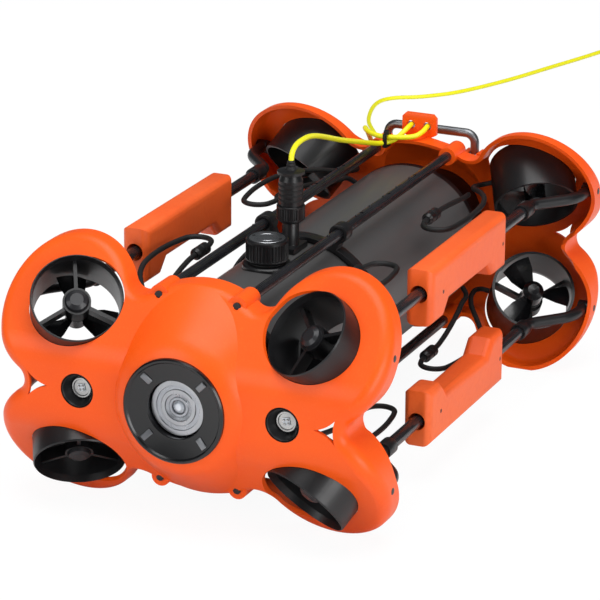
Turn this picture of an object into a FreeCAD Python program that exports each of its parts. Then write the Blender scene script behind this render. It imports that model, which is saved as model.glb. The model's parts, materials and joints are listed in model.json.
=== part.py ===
"""Eight-thruster underwater inspection ROV, as a parametric assembly.

Frame: millimetres, +Z up, +X to port, the camera window faces -Y. The origin is on the surface the
vehicle stands on, under its middle. Lengths that can be set by themselves are cells of the sheet
"Sizes"; everything that fits, seats or lines up reads the same cells.
"""
import FreeCAD, Part

import math
import os
import re

import Sketcher
from FreeCAD import Placement, Rotation, Vector

doc = FreeCAD.newDocument("inspection_rov")

# ---------------------------------------------------------------- driving dimensions (millimetres, degrees)
SIZES = {
    # whole vehicle
    "axis_height": 95.0,          # hull axis above the floor
    "nose_y": 238.5,              # flat nose band of each end shell, from mid-length
    "bezel_y": 247.8,             # front face of the window bezel and of the battery cap
    "running_fit": 0.05,          # radial clearance of turning fits
    "seat_gap": 0.15,             # clearance of pieces that are screwed or slid together
    # end shells
    "shell_wall": 3.0,
    "dome_radius": 77.0,
    "dome_flat_radius": 43.0,
    "dome_front_y": 246.5,
    "dome_side_y": 200.0,
    "lobe_radius": 48.5,
    "lobe_offset_x": 98.5,
    "lobe_offset_z": 47.5,
    "notch_radius": 12.0,
    "waist_radius": 10.0,
    "shell_edge_radius": 9.0,
    "nose_band_half": 26.0,
    "nose_slope": 36.6,           # degrees, of the surfaces above and below the nose band
    "nose_bend_radius": 34.0,
    "shell_back_y": 203.0,
    "shell_back_half": 38.0,
    "shell_back_slope": 27.2,     # degrees
    "cutout_x": 111.5,
    "cutout_reach": 10.5,
    # thrusters
    "thruster_x": 86.7,
    "thruster_y": 219.5,
    "thruster_z": 61.3,
    "thruster_toe": 28.95,        # degrees, the duct axis turned inboard from straight ahead
    "thruster_tilt": 40.85,       # degrees, the duct axis tilted away from the hull's level
    "duct_radius": 32.65,
    "duct_wall": 2.0,
    "duct_length": 40.0,
    "strut_thickness": 2.6,
    "strut_depth": 9.0,
    "motor_radius": 8.4,
    "motor_length": 22.0,
    "motor_nose_depth": 3.0,
    "shaft_radius": 2.0,
    "shaft_length": 13.0,
    "hub_radius": 8.2,
    "hub_length": 13.0,
    "blade_tip_gap": 1.2,
    "blade_count": 3,
    "blade_thickness": 1.6,
    # hull
    "hull_radius": 58.0,
    "hull_wall": 3.0,
    "hull_half_length": 178.0,
    "hull_joint_y": -27.0,
    "joint_ring_width": 8.0,
    "joint_ring_rise": 1.5,       # the joint ring stands this much proud of the tubes
    "end_cap_thickness": 8.0,
    "spigot_length": 10.0,
    "nose_tube_radius": 36.0,
    "nose_tube_bore": 27.0,
    # window, camera and lights
    "bezel_radius": 38.0,
    "bezel_bore": 21.0,
    "window_recess": 9.6,
    "window_thickness": 5.0,
    "window_radius": 29.7,
    "light_x": 78.0,
    "light_radius": 12.5,
    "light_mouth": 11.2,
    "light_lens_radius": 7.7,
    "light_depth": 9.0,
    "light_length": 18.0,
    # frame
    "top_rail_x": 29.7,
    "top_rail_z": 67.7,
    "top_rail_radius": 4.0,
    "top_rail_half_length": 183.0,
    "rail_boss_radius": 7.0,
    "rail_boss_length": 23.0,
    "rail_hole_radius": 1.5,
    "rail_hole_pitch": 52.0,
    "rail_hole_y": 12.0,
    "side_rail_x": 112.3,
    "side_rail_z": 48.3,
    "side_rail_radius": 4.5,
    "side_rail_half_length": 141.0,
    "arm_radius": 4.4,
    "arm_end_y": 207.5,
    "arm_socket_wall": 1.8,
    "clamp_width": 11.0,
    "clamp_wall": 3.0,
    "collar_radius": 7.2,
    # floats
    "float_front_y": -79.0,
    "float_length": 150.0,
    "float_width": 21.5,
    "float_top": 18.5,            # above the side rail
    "float_foot": 23.5,           # below the side rail
    "float_recess": 10.5,         # depth of the long recess between the feet
    "float_foot_length": 24.0,
    "float_edge_radius": 6.0,
    # service port
    "port_y": -91.4,
    "port_flange_radius": 18.0,
    "port_neck_radius": 10.0,
    "port_cap_radius": 15.5,
    "port_cap_height": 17.0,
    "port_cap_top": 79.4,
    # tether attachment
    "socket_y": -50.0,
    "socket_radius": 6.2,
    "plug_radius": 8.8,
    "plug_bottom": 79.0,
    "plug_top": 119.5,
    "collar_height": 11.0,
    "tether_diameter": 4.0,
    "lug_y": 200.0,
    "lug_thickness": 4.0,
    "lug_width": 28.5,
    "lug_stem_width": 17.0,
    "lug_top": 95.0,
    "lug_hole_spacing": 13.6,
    "lug_hole_z": 85.5,
    "lug_hole_radius": 3.4,
    "bail_y": 225.0,
    "bail_half_width": 37.0,
    "bail_top": 76.0,
    "bail_pivot_z": 56.0,
    "bail_radius": 3.5,
    "bail_pin_radius": 2.0,
    # battery and its cap
    "battery_length": 150.0,
    "battery_cap_floor": 14.0,    # from the cap's grip face to the tail it turns on
    # electronics chassis
    "chassis_disc": 4.0,
    "chassis_length": 110.0,      # from disc to disc
    "chassis_width": 84.0,
    "chassis_plate": 3.0,
    "chassis_drop": 11.0,         # top of its plate below the hull's axis
    "board_width": 64.0,
    "board_length": 92.0,
    "board_thickness": 9.0,
    "board_gap": 0.2,
    # tether's coil and connector
    "coil_inner_radius": 15.7,
    "coil_outer_radius": 32.3,
    "coil_height": 16.6,
    "connector_radius": 6.5,
    "connector_length": 40.0,
    # thruster leads
    "lead_diameter": 4.0,
    "lead_connector_radius": 4.6,
    "lead_connector_length": 20.0,
}

sheet = doc.addObject("Spreadsheet::Sheet", "Sizes")
for row, (alias, number) in enumerate(SIZES.items(), start=1):
    sheet.set(f"A{row}", alias.replace("_", " "))
    sheet.set(f"B{row}", str(number))
    sheet.setAlias(f"B{row}", alias)
doc.recompute()


def size(alias):
    """The number that a cell of the sheet holds."""
    return float(sheet.get(alias))


def bound(formula):
    """An expression in which each size's name reads its cell."""
    return re.sub(r"[a-z][a-z_]+", lambda m: f"Sizes.{m[0]}" if m[0] in SIZES else m[0], formula)


NODES = []
AXIS = size("axis_height")
PORT_STARBOARD = (("port", 1), ("starboard", -1))
UPPER_LOWER = (("upper", 1), ("lower", -1))
X_AXIS, Y_AXIS, Z_AXIS = Vector(1, 0, 0), Vector(0, 1, 0), Vector(0, 0, 1)


def on_hull(x, y, z):
    """A point given from the hull's middle, moved into the part's frame."""
    return Vector(x, y, z + AXIS)


def node(thing, label):
    """Marks an object as a piece of the vehicle, with the name of its file."""
    thing.Label = label
    NODES.append(thing)
    return thing


# ---------------------------------------------------------------- builders
def sketch_on(body, role, outline):
    """A closed polygon on one of the body's origin planes, each corner tied to cells of the sheet."""
    sketch = body.newObject("Sketcher::SketchObject", "outline")
    plane = next(f for f in body.Origin.OriginFeatures if f.Role == role)
    sketch.AttachmentSupport = [(plane, "")]
    sketch.MapMode = "FlatFace"
    count = len(outline)
    start = [Vector(math.cos(2 * math.pi * i / count), math.sin(2 * math.pi * i / count), 0) for i in range(count)]
    for i in range(count):
        sketch.addGeometry(Part.LineSegment(start[i], start[(i + 1) % count]), False)
    for i in range(count):
        sketch.addConstraint(Sketcher.Constraint("Coincident", i, 2, (i + 1) % count, 1))
    for i, corner in enumerate(outline):
        for kind, formula, value in zip(("DistanceX", "DistanceY"), corner, start[i]):
            index = sketch.addConstraint(Sketcher.Constraint(kind, -1, 1, i, 1, value))
            sketch.setExpression(f"Constraints[{index}]", bound(formula))
    return sketch


def turned(name, outline, base=Vector(), axis=Z_AXIS):
    """A body turned about its own Z axis, from (radius, height) corners, then stood on base along axis."""
    body = doc.addObject("PartDesign::Body", name)
    sketch = sketch_on(body, "XZ_Plane", outline)
    turn = body.newObject("PartDesign::Revolution", "turning")
    turn.Profile = sketch
    turn.ReferenceAxis = (sketch, ["V_Axis"])
    turn.Angle = 360
    body.Placement = Placement(base, Rotation(Z_AXIS, axis))
    return body


def padded(name, role, outline, length, midplane=False):
    """A body padded from a polygon, its length tied to the sheet."""
    body = doc.addObject("PartDesign::Body", name)
    sketch = sketch_on(body, role, outline)
    pad = body.newObject("PartDesign::Pad", "pad")
    pad.Profile = sketch
    pad.setExpression("Length", bound(length))
    if midplane:
        pad.SideType = "Symmetric"
    return body, pad


def cylinder(name, radius, length, base, axis=Z_AXIS):
    """A Part cylinder whose radius and height are formulas of the sheet."""
    made = doc.addObject("Part::Cylinder", name)
    made.setExpression("Radius", bound(radius))
    made.setExpression("Height", bound(length))
    made.Placement = Placement(base, Rotation(Z_AXIS, axis))
    return made


def block(name, sizes, base):
    """A Part box from its lowest corner, its three sides formulas of the sheet."""
    made = doc.addObject("Part::Box", name)
    for side, formula in zip(("Length", "Width", "Height"), sizes):
        made.setExpression(side, bound(formula))
    made.Placement = Placement(base, Rotation())
    return made


def joined(name, parts):
    made = doc.addObject("Part::MultiFuse", name)
    made.Shapes = parts
    return made


def carved(name, base, tool):
    made = doc.addObject("Part::Cut", name)
    made.Base = base
    made.Tool = tool
    return made


def grouped(name, parts):
    made = doc.addObject("Part::Compound", name)
    made.Links = parts
    return made


def shaped(name, shape):
    """A feature whose shape was made with Part's own functions."""
    made = doc.addObject("Part::Feature", name)
    made.Shape = shape
    return made


def rounded_edges(points, radii, closed=False):
    """Straight runs through the points, joined by tangent arcs of the given radii."""
    count = len(points)
    corners = {}
    for i in range(0 if closed else 1, count if closed else count - 1):
        if radii[i] <= 0:
            continue
        back = (points[i - 1] - points[i]).normalize()
        ahead = (points[(i + 1) % count] - points[i]).normalize()
        half = back.getAngle(ahead) / 2
        reach = radii[i] / math.tan(half)
        inward = (back + ahead).normalize()
        middle = points[i] + inward * (radii[i] / math.sin(half) - radii[i])
        corners[i] = (points[i] + back * reach, middle, points[i] + ahead * reach)
    edges = []
    for i in range(count):
        if i in corners:
            edges.append(Part.Arc(*corners[i]).toShape())
        following = (i + 1) % count
        if following == 0 and not closed:
            break
        start = corners[i][2] if i in corners else points[i]
        end = corners[following][0] if following in corners else points[following]
        if (end - start).Length > 1e-6:
            edges.append(Part.LineSegment(start, end).toShape())
    return edges


def face_of(points, radii):
    return Part.Face(Part.Wire(rounded_edges(points, radii, closed=True)))


def bend_radii(points):
    """Each corner's arc, as large as its two runs allow."""
    radii = [0.0]
    for before, here, after in zip(points, points[1:], points[2:]):
        turn = (here - before).getAngle(after - here)
        radii.append(0.45 * min((here - before).Length, (after - here).Length) / math.tan(turn / 2))
    return radii + [0.0]


def tube_along(name, points, radius, radii=None):
    """A round bar swept along straight runs and tangent arcs. Prints its length, tightest arc and volume ratio."""
    radii = radii or bend_radii(points)
    path = Part.Wire(rounded_edges(points, radii))
    start = path.Edges[0]
    ring = Part.Wire(Part.Circle(points[0], start.tangentAt(start.FirstParameter), radius).toShape())
    solid = path.makePipeShell([ring], True, False)
    ratio = solid.Volume / (math.pi * radius ** 2 * path.Length)
    bends = [r for r in radii if r > 0]
    print(f"{name}: {path.Length:.0f} mm long, tightest arc {min(bends):.1f} mm, volume ratio {ratio:.4f}")
    return solid


# ---------------------------------------------------------------- end shells
def shell_outline(inset, y):
    """The X-shaped outline: a round centre and four lobes, joined by hollow arcs, drawn inset from the edge."""
    centre_r = size("dome_radius") - inset
    lobe_r = size("lobe_radius") - inset
    notch_r = size("notch_radius") + inset
    waist_r = size("waist_radius") + inset
    middle = Vector(0, y, 0)
    lobe = Vector(size("lobe_offset_x"), y, size("lobe_offset_z"))
    span = (lobe - middle).Length
    along = (lobe - middle).normalize()
    reach = ((centre_r + notch_r) ** 2 - (lobe_r + notch_r) ** 2 + span ** 2) / (2 * span)
    aside = math.sqrt((centre_r + notch_r) ** 2 - reach ** 2)
    notch = middle + along * reach + Vector(-along.z, 0, along.x) * aside
    waist = Vector(lobe.x + math.sqrt((lobe_r + waist_r) ** 2 - lobe.z ** 2), y, 0)
    on_centre = middle + (notch - middle).normalize() * centre_r
    on_lobe = lobe + (notch - lobe).normalize() * lobe_r
    at_waist = lobe + (waist - lobe).normalize() * lobe_r
    notch_bottom = notch + ((on_centre - notch) + (on_lobe - notch)).normalize() * notch_r
    first = math.atan2(on_lobe.z - lobe.z, on_lobe.x - lobe.x)
    last = math.atan2(at_waist.z - lobe.z, at_waist.x - lobe.x)
    crown = lobe + Vector(math.cos((first + last) / 2), 0, math.sin((first + last) / 2)) * lobe_r
    quarter = [(on_centre, notch_bottom, on_lobe), (on_lobe, crown, at_waist)]

    def turned_over(arcs, flip):
        return [tuple(flip(p) for p in reversed(arc)) for arc in reversed(arcs)]

    def below(p):
        return Vector(p.x, p.y, -p.z)

    def opposite(p):
        return Vector(-p.x, p.y, p.z)

    waist_arc = (at_waist, waist - Vector(waist_r, 0, 0), below(at_waist))
    side = quarter + [waist_arc] + turned_over(quarter, below)
    bottom = (below(on_centre), Vector(0, y, -centre_r), opposite(below(on_centre)))
    top = (opposite(on_centre), Vector(0, y, centre_r), on_centre)
    arcs = side + [bottom] + turned_over(side, opposite) + [top]
    return Part.Face(Part.Wire([Part.Arc(*arc).toShape() for arc in arcs]))


SHELL_DEEP_Y = -140.0     # the working solids run back to here before the back edge is cut
SHELL_WIDE = 340.0


def lobe_block(inset, edge_radius):
    """The lobes' solid: the outline, met by the nose band and its two sloping surfaces, its front edge rounded."""
    slope = math.radians(size("nose_slope"))
    front = -size("nose_y") + inset
    bend = size("nose_band_half") - inset * (1 / math.cos(slope) - 1) / math.tan(slope)
    tall = size("lobe_offset_z") + size("lobe_radius") + 8
    back = front + (tall - bend) * math.tan(slope)
    side = -SHELL_WIDE / 2
    corners = [(front, -bend), (back, -tall), (SHELL_DEEP_Y, -tall), (SHELL_DEEP_Y, tall), (back, tall), (front, bend)]
    bend_r = size("nose_bend_radius") - inset
    profile = face_of([Vector(side, y, z) for y, z in corners], [bend_r, 0, 0, 0, 0, bend_r])
    outline = shell_outline(inset, -size("bezel_y") - 5).extrude(Vector(0, size("bezel_y") + 5 + SHELL_DEEP_Y, 0))
    solid = outline.common(profile.extrude(Vector(SHELL_WIDE, 0, 0)))
    walls = [f for f in solid.Faces if abs(normal_of(f).y) < 1e-3 and f.BoundBox.YMax > SHELL_DEEP_Y - 1]
    rim = [e for f in walls for e in f.Edges if e.BoundBox.YMax < SHELL_DEEP_Y - 1 and not runs_along_y(e)]
    return solid.makeFillet(edge_radius, rim)


def normal_of(face):
    u0, u1, v0, v1 = face.ParameterRange
    return face.normalAt((u0 + u1) / 2, (v0 + v1) / 2)


def runs_along_y(edge):
    return abs(edge.tangentAt((edge.FirstParameter + edge.LastParameter) / 2).y) > 0.999


def dome(inset):
    """The round boss that carries the window, turned about the hull axis."""
    front = -size("dome_front_y") + inset
    radius = size("dome_radius") - inset
    corners = [(0, front), (size("dome_flat_radius"), front), (radius, -size("dome_side_y") + inset / 2),
               (radius, SHELL_DEEP_Y), (0, SHELL_DEEP_Y)]
    profile = face_of([Vector(r, y, 0) for r, y in corners], [0, 26 - inset, 6 - inset, 0, 0])
    return profile.revolve(Vector(), Y_AXIS, 360)


def back_region():
    """Everything ahead of the shell's back edge, which leans back above and below."""
    half = size("shell_back_half")
    tall = 110.0
    lean = (tall - half) * math.tan(math.radians(size("shell_back_slope")))
    edge = -size("shell_back_y")
    corners = [(-300, -tall), (edge + lean, -tall), (edge, -half), (edge, half), (edge + lean, tall), (-300, tall)]
    points = [Vector(-SHELL_WIDE / 2, y, z) for y, z in corners]
    return face_of(points, [0, 0, 30, 30, 0, 0]).extrude(Vector(SHELL_WIDE, 0, 0))


def duct_axis(side, level, end=-1):
    """The centre of a thruster's rim, from the hull's middle, and the outward direction of its axis."""
    tilt = math.radians(size("thruster_tilt"))
    toe = math.radians(size("thruster_toe"))
    level_part = math.cos(tilt)
    outward = Vector(-side * level_part * math.sin(toe), end * level_part * math.cos(toe), level * math.sin(tilt))
    rim = Vector(side * size("thruster_x"), end * size("thruster_y"), level * size("thruster_z"))
    return rim, outward


def cutout(side):
    """A three-pointed opening with hollow sides, near the waist."""
    reach = size("cutout_reach")
    middle = Vector(side * size("cutout_x"), -size("bezel_y"), 0)
    tips = [middle + Vector(-side * reach * math.cos(a), 0, reach * math.sin(a))
            for a in (0, 2 * math.pi / 3, 4 * math.pi / 3)]
    sides = [Part.Arc(a, middle + ((a + b) / 2 - middle) * 0.7, b).toShape()
             for a, b in zip(tips, tips[1:] + tips[:1])]
    return Part.Face(Part.Wire(sides)).extrude(Vector(0, 60, 0))


def end_shell(label, front, lights):
    """A thin moulded shell with duct openings, screw bosses, a round centre opening and light openings."""
    wall = size("shell_wall")
    edge = size("shell_edge_radius")
    gap = size("seat_gap")
    outer = lobe_block(0, edge).fuse(dome(0))
    shell = outer.cut(lobe_block(wall, edge - wall).fuse(dome(wall))).common(back_region())
    rail_end = size("top_rail_half_length") + gap
    arm_y = size("arm_end_y")
    wall_x = size("lobe_offset_x") + size("lobe_radius")
    bosses, cuts = [], []
    for side in (1, -1):
        for level in (1, -1):
            rail = Vector(side * size("top_rail_x"), -rail_end, level * size("top_rail_z"))
            bosses.append(Part.makeCylinder(size("rail_boss_radius"), size("rail_boss_length"), rail, -Y_AXIS))
            cuts.append(Part.makeCylinder(size("rail_hole_radius") + 0.6, 60, rail + Y_AXIS, -Y_AXIS))
            rim, outward = duct_axis(side, level)
            cuts.append(Part.makeCylinder(size("duct_radius") + 2 * gap, 90, rim + outward * 25, -outward))
            screw = Vector(side * (wall_x - 12), -arm_y, level * size("side_rail_z"))
            cuts.append(Part.makeCylinder(2.2, 30, screw, X_AXIS * side))
        cuts.append(cutout(side))
        if lights:
            mouth = Vector(side * size("light_x"), -size("bezel_y") - 2, 0)
            cuts.append(Part.makeCylinder(size("light_radius") + gap, 40, mouth, Y_AXIS))
    cuts.append(Part.makeCylinder(size("bezel_radius") + gap, 70, Vector(0, -size("bezel_y") - 5, 0), Y_AXIS))
    cuts.append(Part.makeBox(SHELL_WIDE, 400, 20, Vector(-SHELL_WIDE / 2, -400, -AXIS - 20)))
    shell = shell.multiFuse(bosses).cut(cuts)
    form = outer.copy()
    for shape in (shell, form):
        shape.translate(Vector(0, 0, AXIS))
        if not front:
            shape.rotate(Vector(), Z_AXIS, 180)
    node(shaped(label, shell), label)
    return shaped(label + "_form", form)


# ---------------------------------------------------------------- hull
def hull_pieces():
    start = on_hull(0, -size("hull_half_length"), 0)
    bore = "hull_radius - hull_wall"
    for label, length, base in (
            ("hull_front_tube", "hull_half_length + hull_joint_y - joint_ring_width / 2", start),
            ("hull_rear_tube", "hull_half_length - hull_joint_y - joint_ring_width / 2",
             on_hull(0, size("hull_joint_y") + size("joint_ring_width") / 2, 0))):
        wall = [(bore, "0"), ("hull_radius", "0"), ("hull_radius", length), (bore, length)]
        node(turned(label, wall, base, Y_AXIS), label)
    plug = "hull_radius - hull_wall - seat_gap"
    inside = "hull_radius - hull_wall - 4"
    ring = [(inside, "-spigot_length"), (plug, "-spigot_length"), (plug, "0"), ("hull_radius + joint_ring_rise", "0"),
            ("hull_radius + joint_ring_rise", "joint_ring_width"), (plug, "joint_ring_width"),
            (plug, "joint_ring_width + spigot_length"), (inside, "joint_ring_width + spigot_length")]
    joint = on_hull(0, size("hull_joint_y") - size("joint_ring_width") / 2, 0)
    node(turned("hull_joint_ring", ring, joint, Y_AXIS), "hull_joint_ring")

    tube_end = "bezel_y - window_recess - window_thickness - seat_gap - hull_half_length"
    front_cap = [("nose_tube_bore", "-4"), (inside, "-4"), (inside, "-spigot_length"), (plug, "-spigot_length"),
                 (plug, "0"), ("hull_radius", "0"), ("hull_radius", "end_cap_thickness - 2"),
                 ("hull_radius - 2", "end_cap_thickness"), ("nose_tube_radius", "end_cap_thickness"),
                 ("nose_tube_radius", tube_end), ("nose_tube_bore", tube_end)]
    node(turned("front_end_cap", front_cap, start, -Y_AXIS), "front_end_cap")
    tail_end = "bezel_y - battery_cap_floor - 2 * seat_gap - hull_half_length"
    rear_cap = [("0", "-4"), (inside, "-4"), (inside, "-spigot_length"), (plug, "-spigot_length"),
                (plug, "0"), ("hull_radius", "0"), ("hull_radius", "end_cap_thickness - 2"),
                ("hull_radius - 2", "end_cap_thickness"), ("nose_tube_radius", "end_cap_thickness"),
                ("nose_tube_radius", tail_end), ("0", tail_end)]
    node(turned("rear_end_cap", rear_cap, on_hull(0, size("hull_half_length"), 0), Y_AXIS), "rear_end_cap")


def battery_cap():
    """The quarter-turn cap at the stern: a skirted disc with a grip bar across its dished face."""
    skirt = "nose_tube_radius + running_fit"
    outline = [("0", "7"), ("27", "7"), ("30", "0"), ("bezel_radius - 1.5", "0"), ("bezel_radius", "1.5"),
               ("bezel_radius", "24"), (skirt, "24"), (skirt, "battery_cap_floor"), ("0", "battery_cap_floor")]
    disc = turned("battery_cap_disc", outline, on_hull(0, size("bezel_y"), 0), -Y_AXIS)
    bar = block("battery_cap_bar", ("58", "8", "8"), on_hull(-29, size("bezel_y") - 8, -4))
    node(joined("battery_cap", [disc, bar]), "battery_cap")


def front_window():
    depth = "window_recess + window_thickness"
    seat = "window_radius + seat_gap"
    bezel = [("bezel_bore", "0.6"), ("bezel_bore + 0.6", "0"), ("bezel_radius - 1.2", "0"), ("bezel_radius", "1.2"),
             ("bezel_radius", depth), (seat, depth), (seat, "window_recess"), ("bezel_bore", "window_recess")]
    face = on_hull(0, -size("bezel_y"), 0)
    node(turned("window_bezel", bezel, face, Y_AXIS), "window_bezel")
    glass = [("0", "window_recess + seat_gap"), ("window_radius", "window_recess + seat_gap"),
             ("window_radius", depth), ("0", depth)]
    node(turned("window_glass", glass, face, Y_AXIS), "window_glass")
    camera = [("0", "3"), ("6", "3"), ("9", "1.5"), ("12", "1.5"), ("12", "4"), ("19", "1"), ("20", "2"),
              ("20", "16"), ("nose_tube_bore - seat_gap", "16"), ("nose_tube_bore - seat_gap", "24"), ("0", "24")]
    behind = on_hull(0, -size("bezel_y") + size("window_recess") + size("window_thickness") + size("seat_gap"), 0)
    node(turned("camera_module", camera, behind, Y_AXIS), "camera_module")


def lights():
    lens = "light_lens_radius + seat_gap"
    cup = [("light_mouth", "0"), ("light_radius", "0"), ("light_radius", "light_length"), ("0", "light_length"),
           ("0", "light_depth + 4"), (lens, "light_depth + 4"), (lens, "light_depth")]
    glass = [("0", "light_depth - 1"), ("light_lens_radius * 0.6", "light_depth - 0.5"),
             ("light_lens_radius", "light_depth + 1"), ("light_lens_radius", "light_depth + 4 - seat_gap"),
             ("0", "light_depth + 4 - seat_gap")]
    housings, lenses = [], []
    for name, side in PORT_STARBOARD:
        mouth = on_hull(side * size("light_x"), -size("nose_y"), 0)
        housings.append(turned(f"light_housing_{name}", cup, mouth, Y_AXIS))
        lenses.append(turned(f"light_lens_{name}", glass, mouth, Y_AXIS))
    node(grouped("light_housings", housings), "light_housings")
    node(grouped("light_lenses", lenses), "light_lenses")


# ---------------------------------------------------------------- thrusters
def duct(label, rim, outward):
    """A thin tube with a flared rim, three struts and the ring that holds the motor. Its Z points outward."""
    inner = "duct_radius - duct_wall"
    socket = "motor_radius + seat_gap"
    tube = [(inner, "-duct_length"), ("duct_radius", "-duct_length"), ("duct_radius", "-1"),
            ("duct_radius - 0.6", "0"), ("duct_radius - 1", "0"), (inner, "-5")]
    body = turned(label, tube, rim, outward)
    strut = [("motor_radius + 0.8", "-strut_thickness / 2"), (inner + " + 0.6", "-strut_thickness / 2"),
             (inner + " + 0.6", "strut_thickness / 2"), ("motor_radius + 0.8", "strut_thickness / 2")]
    sketch = sketch_on(body, "XY_Plane", strut)
    sketch.AttachmentOffset = Placement(Vector(0, 0, -size("motor_nose_depth") - 5), Rotation())
    pad = body.newObject("PartDesign::Pad", "strut")
    pad.Profile = sketch
    pad.Reversed = True
    pad.setExpression("Length", bound("strut_depth"))
    spread = body.newObject("PartDesign::PolarPattern", "struts")
    spread.Originals = [pad]
    spread.Axis = (sketch, ["N_Axis"])
    spread.Angle = 360
    spread.Occurrences = 3
    body.Tip = spread
    ring = [(socket, "-motor_nose_depth - 16"), ("motor_radius + 1.6", "-motor_nose_depth - 16"),
            ("motor_radius + 1.6", "-motor_nose_depth - 4"), (socket, "-motor_nose_depth - 4")]
    ring_sketch = sketch_on(body, "XZ_Plane", ring)
    turn = body.newObject("PartDesign::Revolution", "motor_ring")
    turn.Profile = ring_sketch
    turn.ReferenceAxis = (ring_sketch, ["V_Axis"])
    turn.Angle = 360
    body.Tip = turn
    return node(body, label)


def motor(name, rim, outward):
    """A potted motor with a domed nose, and the shaft that carries the propeller."""
    back = "-motor_nose_depth - motor_length"
    can = [("0", "-motor_nose_depth"), ("motor_radius * 0.55", "-motor_nose_depth"),
           ("motor_radius * 0.9", "-motor_nose_depth - 1.6"), ("motor_radius", "-motor_nose_depth - 4"),
           ("motor_radius", back), ("shaft_radius", back), ("shaft_radius", back + " - shaft_length"),
           ("0", back + " - shaft_length")]
    return turned(name, can, rim, outward)


def propeller_shape(hand):
    """A hub with a blind bore and wide twisted blades, trimmed to the duct. Its Z points outward."""
    front = -size("motor_nose_depth") - size("motor_length") - 0.5
    hub_r, length = size("hub_radius"), size("hub_length")
    back = front - length
    hub = face_of([Vector(0, 0, front), Vector(hub_r - 0.6, 0, front), Vector(hub_r, 0, front - 0.6),
                   Vector(hub_r, 0, back), Vector(hub_r * 0.55, 0, back - 3), Vector(0, 0, back - 3.6)],
                  [0, 0, 0, 0, 0, 0]).revolve(Vector(), Z_AXIS, 360)
    tip = size("duct_radius") - size("duct_wall") - size("blade_tip_gap")
    half = size("blade_thickness") / 2
    sections = []
    for share, chord, pitch in ((0.0, 12.5, 52), (0.45, 21.0, 36), (1.0, 25.0, 24)):
        radius = hub_r - 1.5 + share * (tip + 1 - hub_r + 1.5)
        turn = math.radians(pitch) * hand
        along = Vector(0, math.cos(turn), math.sin(turn)) * (chord / 2)
        across = Vector(0, -math.sin(turn), math.cos(turn)) * half
        middle = Vector(radius, 0, front - length / 2)
        corners = [middle + along, middle + across, middle - along, middle - across]
        sections.append(Part.makePolygon(corners + corners[:1]))
    blade = Part.makeLoft(sections, True, True)
    trim = Part.makeCylinder(tip, length + 12, Vector(0, 0, back - 6))
    count = int(size("blade_count"))
    blades = []
    for i in range(count):
        copy = blade.copy()
        copy.rotate(Vector(), Z_AXIS, 360 * i / count)
        blades.append(copy)
    solid = hub.multiFuse(blades).common(trim)
    bore = Part.makeCylinder(size("shaft_radius") + size("running_fit"), size("shaft_length") + 1,
                             Vector(0, 0, front - size("shaft_length") - 0.5))
    return solid.cut(bore)


def thrusters():
    """Eight thrusters, toed in and tilted, in mirrored places at both ends."""
    shapes = {hand: propeller_shape(hand) for hand in (1, -1)}
    for end_name, end in (("front", -1), ("rear", 1)):
        motors = []
        for side_name, side in PORT_STARBOARD:
            for level_name, level in UPPER_LOWER:
                place = f"{end_name}_{side_name}_{level_name}"
                rim, outward = duct_axis(side, level, end)
                rim = on_hull(*rim)
                duct(f"duct_{place}", rim, outward)
                motors.append(motor(f"motor_{place}", rim, outward))
                prop = shaped(f"propeller_{place}", shapes[side * level * end])
                phase = Rotation(Z_AXIS, 20 + 25 * side + 10 * level)
                prop.Placement = Placement(rim, Rotation(Z_AXIS, outward) * phase)
                node(prop, f"propeller_{place}")
        node(grouped(f"motors_{end_name}", motors), f"motors_{end_name}")


# ---------------------------------------------------------------- frame
def rails():
    half = size("top_rail_half_length")
    for label, level in (("top_rails", 1), ("bottom_rails", -1)):
        pair = []
        for name, side in PORT_STARBOARD:
            start = on_hull(side * size("top_rail_x"), -half, level * size("top_rail_z"))
            bar = cylinder(f"{label}_{name}", "top_rail_radius", "2 * top_rail_half_length", start, Y_AXIS)
            if level > 0:
                holes = [cylinder(f"{label}_{name}_hole{i}", "rail_hole_radius", "3 * top_rail_radius",
                                  start + Vector(0, half + size("rail_hole_y") + i * size("rail_hole_pitch"),
                                                 -1.5 * size("top_rail_radius"))) for i in range(3)]
                bar = carved(f"{label}_{name}_drilled", bar, joined(f"{label}_{name}_holes", holes))
            pair.append(bar)
        node(grouped(label, pair), label)
    sides = []
    for name, side in PORT_STARBOARD:
        for level_name, level in UPPER_LOWER:
            start = on_hull(side * size("side_rail_x"), -size("side_rail_half_length"), level * size("side_rail_z"))
            sides.append(cylinder(f"side_rail_{name}_{level_name}", "side_rail_radius", "2 * side_rail_half_length",
                                  start, Y_AXIS))
    node(grouped("side_rails", sides), "side_rails")


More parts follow.
